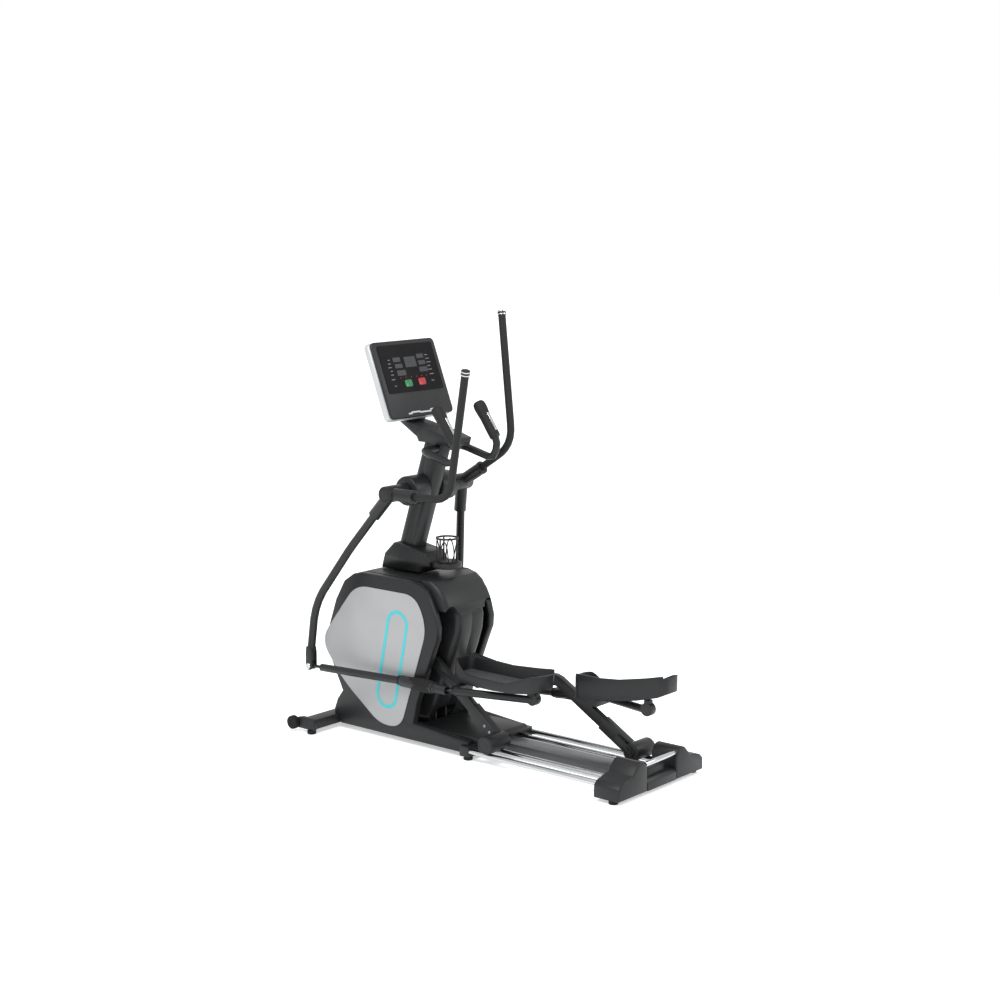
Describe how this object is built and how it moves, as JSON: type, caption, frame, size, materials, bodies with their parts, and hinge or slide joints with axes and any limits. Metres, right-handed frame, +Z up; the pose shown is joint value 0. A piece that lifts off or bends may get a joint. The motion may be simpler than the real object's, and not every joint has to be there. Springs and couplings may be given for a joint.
{
  "type": "elliptical trainer",
  "caption": "Front-driven elliptical trainer with two pedal bars on rear guide rails, swinging arms, fixed pulse handlebar and console",
  "frame": {"origin": "on the floor at the centre of the outline", "axes": "X along the machine with +X to the rear, Y across with -Y at the user's left, Z up"},
  "size_m": [1.706, 0.726, 1.7934],
  "materials": {
    "charcoal_paint": "satin charcoal powder coat",
    "charcoal_plastic": "fine-grained charcoal plastic",
    "black_plastic": "matt black",
    "black_rubber": "matt black rubber",
    "grey_paint": "mid-grey paint",
    "panel_grey": "light grey plastic insert",
    "chrome": "bright chrome",
    "silver_plastic": "silver painted plastic",
    "screen": "glossy black window",
    "steel": "machined steel",
    "tread_grey": "ribbed grey tread",
    "foam": "black foam grip",
    "green": "green start key",
    "red": "red stop key"
  },
  "bodies": {
    "frame": {"front_stabiliser": "charcoal_paint", "front_end_cap_left": "charcoal_plastic", "front_end_cap_right": "charcoal_plastic", "base_frame": "charcoal_paint", "base_deck": "charcoal_plastic", "centre_beam": "grey_paint", "inner_rail_left": "chrome", "inner_rail_right": "chrome", "outer_rail_left": "chrome", "outer_rail_right": "chrome", "rear_stabiliser": "charcoal_plastic", "rear_end_cap_left": "charcoal_plastic", "rear_end_cap_right": "charcoal_plastic", "carry_rod": "chrome", "front_foot_left": "black_rubber", "front_foot_right": "black_rubber", "middle_foot_left": "black_rubber", "middle_foot_right": "black_rubber", "rear_foot_left": "black_rubber", "rear_foot_right": "black_rubber", "side_cover_left": "charcoal_plastic", "side_cover_right": "charcoal_plastic", "side_panel_left": "panel_grey", "side_panel_right": "panel_grey", "wrap_cover": "charcoal_plastic", "shroud_left": "charcoal_plastic", "shroud_right": "charcoal_plastic", "mast": "charcoal_paint", "mast_base_cover": "charcoal_plastic", "bottle_cage": "black_plastic", "pivot_shaft": "steel", "pivot_cover_left": "charcoal_plastic", "pivot_cover_right": "charcoal_plastic", "console_back": "silver_plastic", "console_front": "charcoal_plastic", "console_screen": "screen", "neck_and_tray": "charcoal_plastic", "fixed_handlebar": "charcoal_paint"},
    "crank": {"crank": "steel"},
    "flywheel": {"flywheel": "steel"},
    "carriage_left": {"carriage_left": "charcoal_plastic"},
    "rollers_left": {"carriage_wheels_left": "black_plastic"},
    "bar_left": {"pedal_bar_left": "charcoal_paint", "pedal_left": "charcoal_plastic", "pedal_tread_left": "tread_grey"},
    "link_left": {"link_rod_left": "charcoal_paint"},
    "arm_left": {"swing_arm_left": "charcoal_paint", "moving_handle_left": "foam"},
    "carriage_right": {"carriage_right": "charcoal_plastic"},
    "rollers_right": {"carriage_wheels_right": "black_plastic"},
    "bar_right": {"pedal_bar_right": "charcoal_paint", "pedal_right": "charcoal_plastic", "pedal_tread_right": "tread_grey"},
    "link_right": {"link_rod_right": "charcoal_paint"},
    "arm_right": {"swing_arm_right": "charcoal_paint", "moving_handle_right": "foam"},
    "transport_wheel_left": {"transport_wheel_left": "black_rubber"},
    "transport_wheel_right": {"transport_wheel_right": "black_rubber"},
    "start_button": {"start_button": "green"},
    "stop_button": {"stop_button": "red"}
  },
  "joints": [
    {"name": "crank_turn", "type": "hinge", "parent": "frame", "child": "crank", "pos_m": [-0.478, 0, 0.35], "axis": [0, -1, 0], "range_deg": [0, 180]},
    {"name": "flywheel_spin", "type": "hinge", "parent": "frame", "child": "flywheel", "pos_m": [-0.325, 0, 0.3], "axis": [0, -1, 0], "continuous": true},
    {"name": "carriage_slide_left", "type": "slide", "parent": "frame", "child": "carriage_left", "axis": [1, 0, 0], "range_m": [0, 0.50404]},
    {"name": "rollers_spin_left", "type": "hinge", "parent": "carriage_left", "child": "rollers_left", "pos_m": [0.13095, 0, 0.083], "axis": [0, -1, 0], "continuous": true},
    {"name": "bar_tilt_left", "type": "hinge", "parent": "carriage_left", "child": "bar_left", "pos_m": [0.13095, 0, 0.083], "axis": [0, -1, 0], "range_deg": [0, 7.96]},
    {"name": "link_swivel_left", "type": "hinge", "parent": "bar_left", "child": "link_left", "pos_m": [-0.08708, 0, 0.2799], "axis": [0, -1, 0], "range_deg": [-1.71, 0]},
    {"name": "arm_swing_left", "type": "hinge", "parent": "frame", "child": "arm_left", "pos_m": [-0.362, 0, 1.061], "axis": [0, -1, 0], "range_deg": [0, 32.22]},
    {"name": "carriage_slide_right", "type": "slide", "parent": "frame", "child": "carriage_right", "axis": [1, 0, 0], "range_m": [-0.50404, 0]},
    {"name": "rollers_spin_right", "type": "hinge", "parent": "carriage_right", "child": "rollers_right", "pos_m": [0.63498, 0, 0.083], "axis": [0, -1, 0], "continuous": true},
    {"name": "bar_tilt_right", "type": "hinge", "parent": "carriage_right", "child": "bar_right", "pos_m": [0.63498, 0, 0.083], "axis": [0, -1, 0], "range_deg": [-7.96, 0]},
    {"name": "link_swivel_right", "type": "hinge", "parent": "bar_right", "child": "link_right", "pos_m": [0.39178, 0, 0.24779], "axis": [0, -1, 0], "range_deg": [0, 1.71]},
    {"name": "arm_swing_right", "type": "hinge", "parent": "frame", "child": "arm_right", "pos_m": [-0.362, 0, 1.061], "axis": [0, -1, 0], "range_deg": [-32.22, 0]},
    {"name": "transport_wheel_spin_left", "type": "hinge", "parent": "frame", "child": "transport_wheel_left", "pos_m": [-0.824, -0.352, 0.04], "axis": [0, 1, 0], "continuous": true},
    {"name": "transport_wheel_spin_right", "type": "hinge", "parent": "frame", "child": "transport_wheel_right", "pos_m": [-0.824, 0.352, 0.04], "axis": [0, 1, 0], "continuous": true},
    {"name": "start_press", "type": "slide", "parent": "frame", "child": "start_button", "axis": [-0.9323, 0, -0.3616], "range_m": [0, 0.0008], "stiffness_N_per_m": 400, "springref_m": -0.0005},
    {"name": "stop_press", "type": "slide", "parent": "frame", "child": "stop_button", "axis": [-0.9323, 0, -0.3616], "range_m": [0, 0.0008], "stiffness_N_per_m": 400, "springref_m": -0.0005}
  ],
  "couplings": [
    {"joint": "flywheel_spin", "follows": "crank_turn", "ratio": 5.9},
    {"joint": "carriage_slide_left", "follows": "crank_turn", "m_per_rad": 0.16044},
    {"joint": "rollers_spin_left", "follows": "crank_turn", "ratio": -4.9825},
    {"joint": "bar_tilt_left", "follows": "crank_turn", "ratio": 0.044245},
    {"joint": "link_swivel_left", "follows": "crank_turn", "ratio": -0.0095246},
    {"joint": "arm_swing_left", "follows": "crank_turn", "ratio": 0.17899},
    {"joint": "carriage_slide_right", "follows": "crank_turn", "m_per_rad": -0.16044},
    {"joint": "rollers_spin_right", "follows": "crank_turn", "ratio": 4.9825},
    {"joint": "bar_tilt_right", "follows": "crank_turn", "ratio": -0.044245},
    {"joint": "link_swivel_right", "follows": "crank_turn", "ratio": 0.0095246},
    {"joint": "arm_swing_right", "follows": "crank_turn", "ratio": -0.17899}
  ]
}
